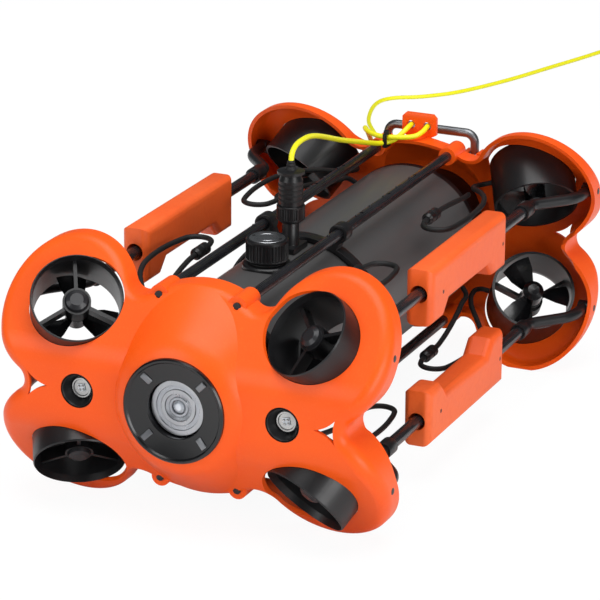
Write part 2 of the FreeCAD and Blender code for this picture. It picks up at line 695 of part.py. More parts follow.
def arm_shape(side, level, end):
    """A cranked arm: a socket on the side rail's end, a bent bar, and a boss against the shell's side wall."""
    gap = size("seat_gap")
    x, z = side * size("side_rail_x"), level * size("side_rail_z")
    rail_end = end * size("side_rail_half_length")
    boss_r = size("arm_radius") + 1
    across = boss_r + abs(size("side_rail_z") - size("lobe_offset_z"))
    wall_x = size("lobe_offset_x") + math.sqrt((size("lobe_radius") - size("shell_wall")) ** 2 - across ** 2) - gap
    out_x = side * (wall_x - size("arm_radius") - 0.4)
    arm_y = end * size("arm_end_y")
    route = [on_hull(x, rail_end + end * gap, z), on_hull(x, rail_end + end * 11, z),
             on_hull(out_x, arm_y - end * 25, z), on_hull(out_x, arm_y, z)]
    bar = tube_along(f"arm {side} {level} {end}", route, size("arm_radius"))
    outer = size("side_rail_radius") + size("arm_socket_wall")
    socket = Part.makeCylinder(outer, 14, on_hull(x, rail_end - end * 12, z), Y_AXIS * end)
    socket = socket.cut(Part.makeCylinder(size("side_rail_radius") + gap, 12 + gap,
                                          on_hull(x, rail_end - end * 12, z), Y_AXIS * end))
    boss = Part.makeCylinder(boss_r, 9, on_hull(side * wall_x, arm_y, z), -X_AXIS * side)
    hole = Part.makeCylinder(1.6, 8, on_hull(side * wall_x, arm_y, z), -X_AXIS * side)
    return bar.multiFuse([socket, boss]).cut(hole)


def arms():
    for label, end in (("arms_front", -1), ("arms_rear", 1)):
        four = [shaped(f"{label}_{name}_{level_name}", arm_shape(side, level, end))
                for name, side in PORT_STARBOARD for level_name, level in UPPER_LOWER]
        node(grouped(label, four), label)


def hull_clamp():
    """The band round the hull joint, with a collar for each of the four long rails."""
    width = size("clamp_width")
    start_y = size("hull_joint_y") - width / 2
    ring_r = "hull_radius + joint_ring_rise + seat_gap"
    solid = [cylinder("clamp_band", ring_r + " + clamp_wall", "clamp_width", on_hull(0, start_y, 0), Y_AXIS)]
    bores = [cylinder("clamp_bore", ring_r, "clamp_width + 2", on_hull(0, start_y - 1, 0), Y_AXIS)]
    for name, side in PORT_STARBOARD:
        for level_name, level in UPPER_LOWER:
            x, z = side * size("top_rail_x"), level * size("top_rail_z")
            at = on_hull(x, start_y, z)
            solid.append(cylinder(f"clamp_collar_{name}_{level_name}", "collar_radius", "clamp_width", at, Y_AXIS))
            web = block(f"clamp_web_{name}_{level_name}", ("2 * top_rail_radius", "clamp_width",
                        "sqrt(top_rail_x^2 + top_rail_z^2) - top_rail_radius - hull_radius - 2 * joint_ring_rise"),
                        Vector())
            turn = Rotation(Y_AXIS, math.degrees(math.atan2(x, z)))
            foot = Vector(-size("top_rail_radius"), 0, size("hull_radius") + 2 * size("joint_ring_rise"))
            web.Placement = Placement(on_hull(0, start_y, 0) + turn.multVec(foot), turn)
            solid.append(web)
            bores.append(cylinder(f"clamp_hole_{name}_{level_name}", "top_rail_radius + seat_gap",
                                  "clamp_width + 2", at - Y_AXIS, Y_AXIS))
    node(carved("hull_clamp", joined("clamp_solid", solid), joined("clamp_bores", bores)), "hull_clamp")


def floats():
    """Four buoyancy blocks that slide on the side rails; the feet of each pair face one another."""
    half_width = "float_width / 2"
    outline = [("0", "float_top"), ("float_length", "float_top"), ("float_length", "-float_foot"),
               ("float_length - float_foot_length", "-float_foot"),
               ("float_length - float_foot_length - float_recess", "float_recess - float_foot"),
               ("float_foot_length + float_recess", "float_recess - float_foot"),
               ("float_foot_length", "-float_foot"), ("0", "-float_foot")]
    for name, side in PORT_STARBOARD:
        for level_name, level in UPPER_LOWER:
            label = f"float_{name}_{level_name}"
            body, pad = padded(label + "_block", "YZ_Plane", outline, "float_width", midplane=True)
            doc.recompute()
            radius = size("float_edge_radius")
            edges = [f"Edge{i}" for i, e in enumerate(pad.Shape.Edges, start=1) if e.Length > radius * 2.2
                     and abs(e.CenterOfMass.x) > 1]
            soft = body.newObject("PartDesign::Fillet", "edges")
            soft.Base = (pad, edges)
            soft.setExpression("Radius", bound("float_edge_radius"))
            body.Tip = soft
            at = on_hull(side * size("side_rail_x"), size("float_front_y"), level * size("side_rail_z"))
            body.Placement = Placement(at, Rotation(Y_AXIS, 0 if level > 0 else 180))
            bore = cylinder(label + "_bore", "side_rail_radius + seat_gap", "float_length + 4", at - Y_AXIS * 2, Y_AXIS)
            mouths = [cylinder(f"{label}_mouth{i}", "side_rail_radius + 2", "22",
                               at + Y_AXIS * (-2 if i == 0 else size("float_length") - 20), Y_AXIS) for i in (0, 1)]
            node(carved(label, body, joined(label + "_hole", [bore] + mouths)), label)


# ---------------------------------------------------------------- service port and tether attachment
def saddle(name, solid):
    """A piece standing on the hull: what is inside the tube's outer surface is cut away."""
    start = on_hull(0, -size("hull_half_length"), 0)
    return carved(name, solid, cylinder(name + "_seat", "hull_radius", "2 * hull_half_length", start, Y_AXIS))


def service_port():
    base = on_hull(0, size("port_y"), 0)
    flange_top = size("port_cap_top") - size("port_cap_height") - 2
    flange = [("0", "hull_radius - 12"), ("port_flange_radius", "hull_radius - 12"),
              ("port_flange_radius", "port_cap_top - port_cap_height - 3"),
              ("port_flange_radius - 1", "port_cap_top - port_cap_height - 2"),
              ("port_neck_radius", "port_cap_top - port_cap_height - 2"),
              ("port_neck_radius", "port_cap_top - 8"), ("0", "port_cap_top - 8")]
    node(saddle("port_base", turned("port_flange", flange, base)), "port_base")
    seal = doc.addObject("Part::Torus", "port_seal")
    seal.setExpression("Radius1", bound("port_neck_radius + 3"))
    seal.Radius2 = 0.8
    seal.Placement = Placement(base + Z_AXIS * (flange_top + 0.8), Rotation())
    node(seal, "port_seal")
    bore = "port_neck_radius + running_fit"
    floor = "port_cap_top - port_cap_height"
    cap = [(bore, floor), ("port_cap_radius - 1", floor), ("port_cap_radius", floor + " + 1"),
           ("port_cap_radius", "port_cap_top - 3"), ("port_cap_radius - 2.5", "port_cap_top"),
           ("0", "port_cap_top"), ("0", "port_cap_top - 7.5"), (bore, "port_cap_top - 7.5")]
    body = turned("port_cap", cap, base)
    grip = [("port_cap_radius - 0.9", "-1.1"), ("port_cap_radius + 2", "-1.1"), ("port_cap_radius + 2", "1.1"),
            ("port_cap_radius - 0.9", "1.1")]
    sketch = sketch_on(body, "XY_Plane", grip)
    sketch.AttachmentOffset = Placement(Vector(0, 0, size("port_cap_top") - 4), Rotation())
    pocket = body.newObject("PartDesign::Pocket", "grip")
    pocket.Profile = sketch
    pocket.Length = 12
    around = body.newObject("PartDesign::PolarPattern", "grips")
    around.Originals = [pocket]
    around.Axis = (sketch, ["N_Axis"])
    around.Angle = 360
    around.Occurrences = 12
    body.Tip = around
    node(body, "port_cap")


def tether_plug():
    base = on_hull(0, size("socket_y"), 0)
    foot = block("socket_foot", ("2 * socket_radius + 4", "2 * socket_radius + 12", "14"),
                 base + Vector(-size("socket_radius") - 2, -size("socket_radius") - 6, size("hull_radius") - 10))
    post = cylinder("socket_post", "socket_radius", "plug_bottom - seat_gap - hull_radius + 2",
                    base + Z_AXIS * (size("hull_radius") - 2))
    node(saddle("tether_socket", joined("socket_solid", [foot, post])), "tether_socket")
    plug = [("0", "plug_bottom"), ("plug_radius - 1.2", "plug_bottom"), ("plug_radius", "plug_bottom + 1.2"),
            ("plug_radius", "plug_top - 9"), ("plug_radius - 1.6", "plug_top - 5"), ("plug_radius + 1.2", "plug_top - 4"),
            ("plug_radius + 1.2", "plug_top - 2"), ("tether_diameter", "plug_top - 1"), ("tether_diameter", "plug_top"),
            ("0", "plug_top")]
    node(turned("tether_plug", plug, base), "tether_plug")
    low = "plug_bottom + 2"
    sleeve = [("plug_radius + running_fit", low), ("plug_radius + 1.6", low),
              ("plug_radius + 1.6", low + " + collar_height"), ("plug_radius + running_fit", low + " + collar_height")]
    node(turned("plug_collar", sleeve, base), "plug_collar")


def tether_lug(rear_form):
    """The T-shaped plate on the stern's arch, with two holes that the tether is threaded through."""
    half, stem = "lug_width / 2", "lug_stem_width / 2"
    shoulder = "lug_hole_z - lug_hole_radius - 3.5"
    outline = [("-" + stem, "dome_radius - 8"), (stem, "dome_radius - 8"), (stem, shoulder + " - 3"), (half, shoulder),
               (half, "lug_top - 3"), (half + " - 3", "lug_top"), ("3 - " + half, "lug_top"),
               ("-" + half, "lug_top - 3"), ("-" + half, shoulder), ("-" + stem, shoulder + " - 3")]
    body, _ = padded("lug_plate", "XZ_Plane", outline, "lug_thickness", midplane=True)
    body.Placement = Placement(on_hull(0, size("lug_y"), 0), Rotation())
    holes = [cylinder(f"lug_hole_{name}", "lug_hole_radius", "lug_thickness + 4",
                      on_hull(side * size("lug_hole_spacing") / 2, size("lug_y") - size("lug_thickness") / 2 - 2,
                              size("lug_hole_z")), Y_AXIS) for name, side in PORT_STARBOARD]
    drilled = carved("lug_drilled", body, joined("lug_holes", holes))
    node(carved("tether_lug", drilled, rear_form), "tether_lug")


def tow_bail(rear_form):
    """A bent-rod bail on two forked mounts behind the lug, each with its pin."""
    half, top, pivot = size("bail_half_width"), size("bail_top"), size("bail_pivot_z")
    y, rod, pin = size("bail_y"), size("bail_radius"), size("bail_pin_radius")
    route = [on_hull(-half, y, pivot), on_hull(-half, y, top), on_hull(half, y, top), on_hull(half, y, pivot)]
    bow = tube_along("bail", route, rod, [0, 2.2 * rod, 2.2 * rod, 0])
    eyes = [Part.makeCylinder(rod + 1.5, 2 * rod, on_hull(side * half - rod, y, pivot), X_AXIS) for side in (1, -1)]
    bores = [Part.makeCylinder(pin + size("running_fit"), 2 * rod + 2, on_hull(side * half - rod - 1, y, pivot), X_AXIS)
             for side in (1, -1)]
    node(shaped("tow_bail", bow.multiFuse(eyes).cut(bores)), "tow_bail")
    mounts, pins = [], []
    cheek = rod + 4.2
    for name, side in PORT_STARBOARD:
        corner = on_hull(side * half - cheek, y - 7, pivot - 22)
        solid = block(f"mount_block_{name}", (f"{2 * cheek}", "14", "28"), corner)
        slot = block(f"mount_slot_{name}", ("2 * bail_radius + 0.7", "20", "20"),
                     on_hull(side * half - rod - 0.35, y - 10, pivot - rod - 2.2))
        hole = cylinder(f"mount_hole_{name}", "bail_pin_radius + running_fit", f"{2 * cheek + 2}",
                        on_hull(side * half - cheek - 1, y, pivot), X_AXIS)
        tools = joined(f"mount_tools_{name}", [slot, hole])
        mounts.append(carved(f"mount_{name}", carved(f"mount_cut_{name}", solid, tools), rear_form))
        pins.append(cylinder(f"bail_pin_{name}", "bail_pin_radius", f"{2 * cheek}",
                             on_hull(side * half - cheek, y, pivot), X_AXIS))
    node(grouped("bail_mounts", mounts), "bail_mounts")
    node(grouped("bail_pins", pins), "bail_pins")


# ---------------------------------------------------------------- inside the hull
def inner_pieces():
    fit = "hull_radius - hull_wall - 2 * seat_gap"
    pack = [("0", "0"), (fit + " - 1.5", "0"), (fit, "1.5"), (fit, "battery_length - 1.5"),
            (fit + " - 1.5", "battery_length"), ("0", "battery_length")]
    start = size("hull_joint_y") + size("joint_ring_width") / 2 + size("spigot_length") + size("seat_gap")
    node(turned("battery_pack", pack, on_hull(0, start, 0), Y_AXIS), "battery_pack")
    front = size("hull_joint_y") - size("joint_ring_width") / 2 - size("spigot_length") - size("seat_gap")
    disc = [("0", "0"), (fit, "0"), (fit, "chassis_disc"), ("0", "chassis_disc")]
    discs = [turned(f"chassis_disc{i}", disc,
                    on_hull(0, front - size("chassis_disc") - i * size("chassis_length"), 0), Y_AXIS) for i in (0, 1)]
    middle = front - (size("chassis_length") + size("chassis_disc")) / 2
    long = size("chassis_length") + size("chassis_disc") / 2
    plate = block("chassis_plate", ("chassis_width", "chassis_length + chassis_disc / 2", "chassis_plate"),
                  on_hull(-size("chassis_width") / 2, middle - long / 2, -size("chassis_drop") - size("chassis_plate")))
    node(joined("electronics_chassis", discs + [plate]), "electronics_chassis")
    above = size("board_gap") - size("chassis_drop")
    below = -size("chassis_drop") - size("chassis_plate") - size("board_gap") - size("board_thickness")
    boards = [block(f"board{i}", ("board_width", "board_length", "board_thickness"),
                    on_hull(-size("board_width") / 2, middle - size("board_length") / 2, z))
              for i, z in enumerate((above, below))]
    node(grouped("control_boards", boards), "control_boards")


# ---------------------------------------------------------------- thruster leads
LEAD_OUT = [    # x, distance from mid-length and height of the port upper lead, from its duct to its connector
    (54.2, 201.3, 43.3), (51, 196, 43.3), (51.5, 186, 45), (57, 172, 48), (68, 156, 52), (79, 138, 54.5),
    (86, 117, 55.5), (88, 96, 55.8), (88.2, 76, 55.5), (86, 58, 55), (83.67, 49.31, 55), (79.43, 45.07, 55),
    (73.63, 43.52, 55), (67.84, 45.07, 55), (63.6, 49.31, 55), (61.27, 58, 55), (60.8, 64, 55)]
LEAD_BACK = [   # from the connector to the hull's end cap
    (60.6, 94, 54.6), (59.5, 110, 52.8), (57.4, 132, 49.2), (54.5, 154, 45), (52.7, 165, 43), (52.3, 173, 42.6),
    (50.3, 178.5, 40.5), (46.2, 181, 37.1)]


def thruster_leads():
    """Each thruster's cable: out of its duct, a loop beside the hull, a connector, and back to the end cap."""
    radius = size("lead_diameter") / 2
    long = size("lead_connector_length")
    middle = "lead_connector_length / 2"
    body = [("0", "0"), ("lead_diameter * 0.7", "0"), ("lead_connector_radius", "2"),
            ("lead_connector_radius", middle + " - 1.5"), ("lead_connector_radius - 0.8", middle + " - 1"),
            ("lead_connector_radius - 0.8", middle + " + 1"), ("lead_connector_radius", middle + " + 1.5"),
            ("lead_connector_radius", "lead_connector_length - 2"),
            ("lead_diameter * 0.7", "lead_connector_length"), ("0", "lead_connector_length")]
    leads, connectors = [], []
    for end in (-1, 1):
        for side in (1, -1):
            for level in (1, -1):
                def placed(p):
                    return on_hull(side * p[0], end * p[1], level * p[2])
                rim, outward = duct_axis(side, level, end)
                inward = -X_AXIS * side + outward * outward.dot(X_AXIS) * side
                wall = size("duct_radius") + size("seat_gap")
                start = on_hull(*(rim - outward * 12 + inward.normalize() * wall))
                out = [start] + [placed(p) for p in LEAD_OUT]
                plug_end = placed((LEAD_OUT[-1][0], LEAD_OUT[-1][1] + size("seat_gap"), LEAD_OUT[-1][2]))
                far_end = plug_end + Y_AXIS * end * (long + size("seat_gap"))
                back = [far_end] + [placed(p) for p in LEAD_BACK]
                name = f"lead {end} {side} {level}"
                leads.append(shaped("lead", tube_along(name + " out", out, radius)))
                leads.append(shaped("lead", tube_along(name + " back", back, radius)))
                connectors.append(turned("lead_connector", body, plug_end, Y_AXIS * end))
    node(grouped("thruster_leads", leads), "thruster_leads")
    node(grouped("lead_connectors", connectors), "lead_connectors")


# ---------------------------------------------------------------- tether
TETHER_ROUTE = [    # from the hull's middle: plug, tie, out and back through the lug, over the stern, along the floor
    (0, -50, 119.5), (0, -50, 126.5), (-1, -44.5, 131.3), (-2.6, -34, 133), (-4.6, -16, 132), (-7.8, 6, 127.8),
    (-11.5, 35, 118.8),
    (-16.2, 76, 104.5), (-20.4, 120, 90.8), (-23.4, 148, 82), (-24, 163, 77.3), (-22.6, 172, 75),
    (-19, 178.3, 74.6), (-13, 181, 77), (-9.3, 186.5, 81.2), (-7, 192, 84.6), (-6.8, 198, 85.5), (-6.8, 206, 85.5),
    (-3, 213, 86.2), (3, 213, 86.2), (6.8, 206, 85.5), (6.8, 198, 85.5), (6.6, 191, 83.3), (3, 184.5, 80.6),
    (-4, 180, 80), (-12, 177.5, 80), (-19, 177.4, 79.2), (-27.5, 179, 79), (-36, 184, 79), (-43.5, 193, 78.5),
    (-49, 205, 76.5), (-52, 219, 68), (-53.5, 233, 53), (-55, 246, 28), (-58, 256, -5), (-63, 266, -40),
    (-70, 279, -70), (-80, 296, -88), (-93, 317, -93), (-108, 345, -93), (-118, 385, -93), (-130, 435, -93),
    (-150, 488, -93), (-172, 540, -93), (-190, 595, -93), (-212, 648, -93), (-238, 698, -93), (-260, 731, -93),
    (-275, 755, -93), (-284.5, 781, -93), (-290.5, 802, -93), (-293.5, 820, -93), (-292.8, 832, -93),
    (-288.5, 842, -93), (-279.5, 850.5, -93), (-266, 857.5, -93), (-252.5, 870.5, -93), (-238.5, 886.5, -93),
    (-226.5, 908, -93), (-213.5, 936, -93), (-199, 972, -93), (-184, 1018, -93), (-165, 1072, -93),
    (-152.5, 1113, -93), (-146, 1132, -93), (-143.6, 1143.5, -93)]
COIL_MIDDLE = (-118.4, 1160, -95)


def tether():
    radius = size("tether_diameter") / 2
    route = [on_hull(*p) for p in TETHER_ROUTE]
    node(shaped("tether", tube_along("tether", route, radius)), "tether")
    coil = [("coil_inner_radius", "2"), ("coil_inner_radius + 2", "0"), ("coil_outer_radius - 2", "0"),
            ("coil_outer_radius", "2"), ("coil_outer_radius", "coil_height - 2"),
            ("coil_outer_radius - 2", "coil_height"), ("coil_inner_radius + 2", "coil_height"),
            ("coil_inner_radius", "coil_height - 2")]
    middle = on_hull(*COIL_MIDDLE)
    node(turned("tether_coil", coil, middle), "tether_coil")
    plug = [("0", "0"), ("tether_diameter", "0"), ("connector_radius - 1", "6"), ("connector_radius - 1", "12"),
            ("connector_radius", "13"), ("connector_radius", "connector_length - 9"),
            ("connector_radius - 1.5", "connector_length - 8"), ("connector_radius - 1.5", "connector_length"),
            ("0", "connector_length")]
    beside = size("coil_outer_radius") - 0.8
    behind = math.sqrt(size("coil_outer_radius") ** 2 - (beside - size("tether_diameter")) ** 2)
    at = middle + Vector(beside, -behind - 2 * size("seat_gap"), size("connector_radius"))
    node(turned("tether_connector", plug, at, -Y_AXIS), "tether_connector")
    band = block("tie_band", ("3.4", "9.4", "10.8"), on_hull(-20.7, 173.2, 71.3))
    opening = block("tie_opening", ("6", "7.4", "8.8"), on_hull(-22, 174.2, 72.3))
    head = block("tie_head", ("4.2", "3.4", "2.6"), on_hull(-21.1, 176, 81.9))
    node(joined("tether_tie", [carved("tie_loop", band, opening), head]), "tether_tie")


# ---------------------------------------------------------------- the whole vehicle
end_shell("front_shell", front=True, lights=True)
rear_form = end_shell("rear_shell", front=False, lights=False)
hull_pieces()
battery_cap()
front_window()
lights()
thrusters()
rails()
arms()
hull_clamp()
floats()
service_port()
tether_plug()
tether_lug(rear_form)
tow_bail(rear_form)
inner_pieces()
thruster_leads()
tether()

doc.recompute()
for thing in doc.Objects:
    if "Invalid" in thing.State or "Error" in thing.State:
        raise RuntimeError(f"{thing.Label} didn't recompute: {thing.State}")
os.makedirs("parts", exist_ok=True)
for thing in NODES:
    if thing.Shape.isNull() or not thing.Shape.isValid() or thing.Shape.Volume <= 0:
        raise RuntimeError(f"{thing.Label} has no valid solid")
    thing.Shape.exportStep(f"parts/{thing.Label}.step")
print(f"{len(NODES)} pieces")
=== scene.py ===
# %% [markdown]
# # Underwater inspection vehicle
# A tethered vehicle of about half a metre: a black pressure hull between two orange moulded end shells,
# each with four ducted thrusters, joined by rails, with foam floats on its sides. This file dresses the
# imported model. Lengths are in metres unless a name says millimetres (MM turns those into metres).

import json
import math

import bpy
from mathutils import Matrix, Vector


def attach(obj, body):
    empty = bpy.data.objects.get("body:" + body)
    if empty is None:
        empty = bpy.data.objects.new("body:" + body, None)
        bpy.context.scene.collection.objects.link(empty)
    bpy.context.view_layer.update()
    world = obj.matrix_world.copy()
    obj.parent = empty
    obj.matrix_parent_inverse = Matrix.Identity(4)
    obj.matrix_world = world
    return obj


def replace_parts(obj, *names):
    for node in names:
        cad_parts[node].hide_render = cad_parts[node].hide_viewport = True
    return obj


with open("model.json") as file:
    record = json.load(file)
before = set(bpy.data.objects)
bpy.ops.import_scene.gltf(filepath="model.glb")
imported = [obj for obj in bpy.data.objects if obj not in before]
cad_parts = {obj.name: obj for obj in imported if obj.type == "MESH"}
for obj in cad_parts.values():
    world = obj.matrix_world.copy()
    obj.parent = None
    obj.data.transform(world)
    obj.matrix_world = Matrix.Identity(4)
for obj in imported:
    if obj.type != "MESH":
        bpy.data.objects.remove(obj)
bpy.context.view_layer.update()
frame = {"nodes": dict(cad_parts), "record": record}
MM = 0.001
AXIS = 0.095            # height of the hull's axis above the floor
X, Y, Z = Vector((1, 0, 0)), Vector((0, 1, 0)), Vector((0, 0, 1))
ENDS = {"front": -1, "rear": 1}
SIDES = {"port": 1, "starboard": -1}
LEVELS = {"upper": 1, "lower": -1}


def hull_point(x, y, z):
    """A point given in millimetres from the hull's middle."""
    return Vector((x, y, z)) * MM + Z * AXIS


# %% [markdown]
# ## Camera
# A long lens looks down at the bow from the port side, as in a catalogue picture. Its place is an
# azimuth, an elevation, a small roll and a distance from the hull's middle.

# %% Camera
FILM_WIDTH = 36         # millimetres


def place_camera(azimuth, elevation, roll, distance, shift_x, shift_y, lens):
    a, e, r = (math.radians(v) for v in (azimuth, elevation, roll))
    right = Vector((math.cos(a), math.sin(a), 0))
    towards = Vector((math.sin(a) * math.cos(e), -math.cos(a) * math.cos(e), math.sin(e)))
    up = towards.cross(right)
    side = right * math.cos(r) + up * math.sin(r)
    top = up * math.cos(r) - right * math.sin(r)
    data = bpy.data.cameras.new("camera")
    data.lens, data.sensor_width = lens, FILM_WIDTH
    data.clip_end = 50
    camera = bpy.data.objects.new("camera", data)
    bpy.context.scene.collection.objects.link(camera)
    place = side * shift_x + top * shift_y + towards * distance + Z * AXIS
    camera.matrix_world = Matrix.Translation(place) @ Matrix((side, top, towards)).transposed().to_4x4()
    bpy.context.scene.camera = camera
    return camera


camera = place_camera(azimuth=23.74, elevation=19.23, roll=0.38, distance=2.557, shift_x=-0.013,
                      shift_y=0.0026, lens=205.92)
print("camera at", [round(v, 3) for v in camera.matrix_world.translation])

# %% [markdown]
# ## Tether
# A 4 mm yellow jacketed cable. It rises out of its plug on the hull, runs back along the top to a tie,
# loops through the two holes of the stern's lug, drops behind the vehicle and lies on the floor. The spare
# length is wound in four layers of four turns, each turn a cable's width from the next, and ends in an
# in-line connector.

# %% Tether
TETHER_EXIT = (0, -50, 119.5)
TETHER_ROUTE = [
    TETHER_EXIT, (0, -50, 126.5), (-1, -44.5, 131.3), (-2.6, -34, 133), (-4.6, -16, 132), (-7.8, 6, 127.8),
    (-11.5, 35, 118.8), (-16.2, 76, 104.5), (-20.4, 120, 90.8), (-23.4, 148, 82), (-24, 163, 77.3),
    (-22.6, 172, 75), (-19, 178.3, 74.6), (-13, 181, 77), (-9.3, 186.5, 81.2), (-7, 192, 84.6),
    (-6.8, 198, 85.5), (-6.8, 206, 85.5), (-3, 213, 86.2), (3, 213, 86.2), (6.8, 206, 85.5), (6.8, 198, 85.5),
    (6.6, 191, 83.3), (3, 184.5, 80.6), (-4, 180, 80), (-12, 177.5, 80), (-19, 177.4, 79.2), (-27.5, 179, 79),
    (-36, 184, 79), (-43.5, 193, 78.5), (-49, 205, 76.5), (-52, 219, 68), (-53.5, 233, 53), (-55, 246, 28),
    (-58, 256, -5), (-63, 266, -40), (-70, 279, -70), (-80, 296, -88), (-93, 317, -93), (-108, 345, -93),
    (-118, 385, -93), (-130, 435, -93), (-150, 488, -93), (-172, 540, -93), (-190, 595, -93),
    (-212, 648, -93), (-238, 698, -93), (-260, 731, -93), (-275, 755, -93), (-284.5, 781, -93),
    (-290.5, 802, -93), (-293.5, 820, -93), (-292.8, 832, -93), (-288.5, 842, -93), (-279.5, 850.5, -93),
    (-266, 857.5, -93), (-252.5, 870.5, -93), (-238.5, 886.5, -93), (-226.5, 908, -93), (-213.5, 936, -93),
    (-199, 972, -93), (-184, 1018, -93), (-165, 1072, -93), (-152.5, 1113, -93), (-146, 1132, -93),
    (-143.6, 1143.5, -93)]
TETHER_RADIUS = 2.0
COIL_MIDDLE = Vector((-118.4, 1160, -95))
COIL_RADII = (17.8, 22.0, 26.1, 30.2)
COIL_LAYERS = 4
LAYER_PITCH = 4.15
TURN_POINTS = 12
COIL_START = math.radians(205)      # where the cable meets the coil, which winds clockwise


def coil_points():
    """Control points of the wound turns; they stand outside the turn they draw, as the curve cuts inside."""
    points = []
    outward = 1 / math.cos(math.pi / TURN_POINTS)
    rings = list(reversed(COIL_RADII))
    step = 0
    for layer in range(COIL_LAYERS):
        height = TETHER_RADIUS + layer * LAYER_PITCH
        for turn, ring in enumerate(rings):
            following = rings[turn + 1] if turn + 1 < len(rings) else ring
            rise = LAYER_PITCH if turn + 1 == len(rings) and layer + 1 < COIL_LAYERS else 0
            last_turn = layer + 1 == COIL_LAYERS and turn + 1 == len(rings)
            for i in range(TURN_POINTS if not last_turn else 5):
                share = min(max((i - 8) / 3, 0), 1)
                radius = (ring + (following - ring) * share) * outward
                angle = COIL_START - 2 * math.pi * step / TURN_POINTS
                points.append(COIL_MIDDLE + Vector((radius * math.cos(angle), radius * math.sin(angle),
                                                    height + rise * share)))
                step += 1
        rings.reverse()
    return points


def nurbs(name, points, radius):
    data = bpy.data.curves.new(name, "CURVE")
    data.dimensions = "3D"
    data.bevel_depth = radius * MM
    data.bevel_resolution = 5
    data.resolution_u = 8
    spline = data.splines.new("NURBS")
    spline.points.add(len(points) - 1)
    for point, place in zip(spline.points, points):
        point.co = (*hull_point(*place), 1)
    spline.order_u = 3
    spline.use_endpoint_u = True
    piece = bpy.data.objects.new(name, data)
    bpy.context.scene.collection.objects.link(piece)
    return piece


TETHER_TAIL = [(17, 28.0, 14.3), (27.4, 23.0, 12.2), (34.4, 12.6, 9.0), (36, 2, 7.0), (34.6, -7, 6.5),
               (31.5, -14, 6.5), (31.5, -19.5, 6.5)]
tail = [COIL_MIDDLE + Vector(p) for p in TETHER_TAIL]
tether = nurbs("tether_cable", TETHER_ROUTE + coil_points() + tail, TETHER_RADIUS)
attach(tether, "vehicle")
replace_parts(tether, "tether", "tether_coil")
print("tether with", len(tether.data.splines[0].points), "control points")

# %% [markdown]
# ## Tools for materials
# A node tree is written as sums: a Value stands for any output, and a Finish holds one material.

# %% Tools for materials
class Value:
    """A number, colour or vector in a node tree. Sums on it add Math nodes."""

    def __init__(self, tree, socket):
        self.tree, self.socket = tree, socket

    def _sum(self, operation, *terms):
        made = self.tree.nodes.new("ShaderNodeMath")
        made.operation = operation
        for term, place in zip(terms, made.inputs):
            if isinstance(term, Value):
                self.tree.links.new(term.socket, place)
            else:
                place.default_value = term
        return Value(self.tree, made.outputs[0])

    def __add__(self, other):
        return self._sum("ADD", self, other)

    __radd__ = __add__

    def __mul__(self, other):
        return self._sum("MULTIPLY", self, other)

    def __sub__(self, other):
        return self._sum("SUBTRACT", self, other)

    def __truediv__(self, other):
        return self._sum("DIVIDE", self, other)

    def above(self, limit, soft):
        """0 below limit, 1 above it, over a soft step."""
        return self._sum("MINIMUM", self._sum("MAXIMUM", (self - limit) / soft, 0.0), 1.0)


class Finish:
    """A material's node tree, with short ways to make its nodes."""

    def __init__(self, name):
        self.material = bpy.data.materials.new(name)
        self.material.use_nodes = True
        self.tree = self.material.node_tree
        self.shader = self.tree.nodes["Principled BSDF"]

    def node(self, kind, settings=None, **inputs):
        """A node of any other kind; an input is named, with underscores, or numbered as in i6."""
        made = self.tree.nodes.new(kind)
        for key, value in (settings or {}).items():
            setattr(made, key, value)
        for key, value in inputs.items():
            numbered = key[0] == "i" and key[1:].isdigit()
            self.feed(made.inputs[int(key[1:]) if numbered else key.replace("_", " ")], value)
        return made

    def feed(self, socket, value):
        if isinstance(value, Value):
            self.tree.links.new(value.socket, socket)
        else:
            socket.default_value = value

    def set(self, **inputs):
        for key, value in inputs.items():
            self.feed(self.shader.inputs[key.replace("_", " ")], value)
        return self

    def place(self):
        return Value(self.tree, self.node("ShaderNodeTexCoord").outputs["Object"])

    def noise(self, scale, detail=3.0, roughness=0.55, stretch=(1, 1, 1)):
        spread = self.node("ShaderNodeVectorMath", {"operation": "MULTIPLY"}, i0=self.place(), i1=stretch)
        made = self.node("ShaderNodeTexNoise", Vector=Value(self.tree, spread.outputs[0]), Scale=scale,
                         Detail=detail, Roughness=roughness)
        return Value(self.tree, made.outputs[0])

    def cells(self, scale):
        made = self.node("ShaderNodeTexVoronoi", Vector=self.place(), Scale=scale)
        return Value(self.tree, made.outputs["Distance"])

    def mix(self, share, first, second):
        made = self.node("ShaderNodeMix", {"data_type": "RGBA"}, i0=share, i6=first, i7=second)
        return Value(self.tree, made.outputs[2])

    def bump(self, height, depth, strength=1.0):
        made = self.node("ShaderNodeBump", Height=height, Distance=depth, Strength=strength)
        return Value(self.tree, made.outputs[0])


def rgb(*levels):
    """An sRGB colour, 0 to 255, as linear light, with full alpha."""
    shares = (level / 255 for level in levels)
    return tuple(c / 12.92 if c < 0.0431 else ((c + 0.055) / 1.055) ** 2.4 for c in shares) + (1.0,)


print("material tools ready")

# %% [markdown]
# ## Floor, backdrop and light
# A wide pale floor under a large soft lamp, with a wide fill from the port side and a small one from ahead,
# gives the even light of a catalogue picture. Mirrored rays see a greyer room, so that black glossy parts
# keep their depth.

# %% Floor and light
def soft_lamp(name, place, target, wide, power):
    data = bpy.data.lights.new(name, "AREA")
    data.shape, data.size, data.energy = "DISK", wide, power
    lamp = bpy.data.objects.new(name, data)
    bpy.context.scene.collection.objects.link(lamp)
    lamp.matrix_world = (Matrix.Translation(place)
                         @ (Vector(place) - Vector(target)).to_track_quat("Z", "Y").to_matrix().to_4x4())


FLOOR_GLOW = 0.9       # share of the floor that the camera sees as plain white paper

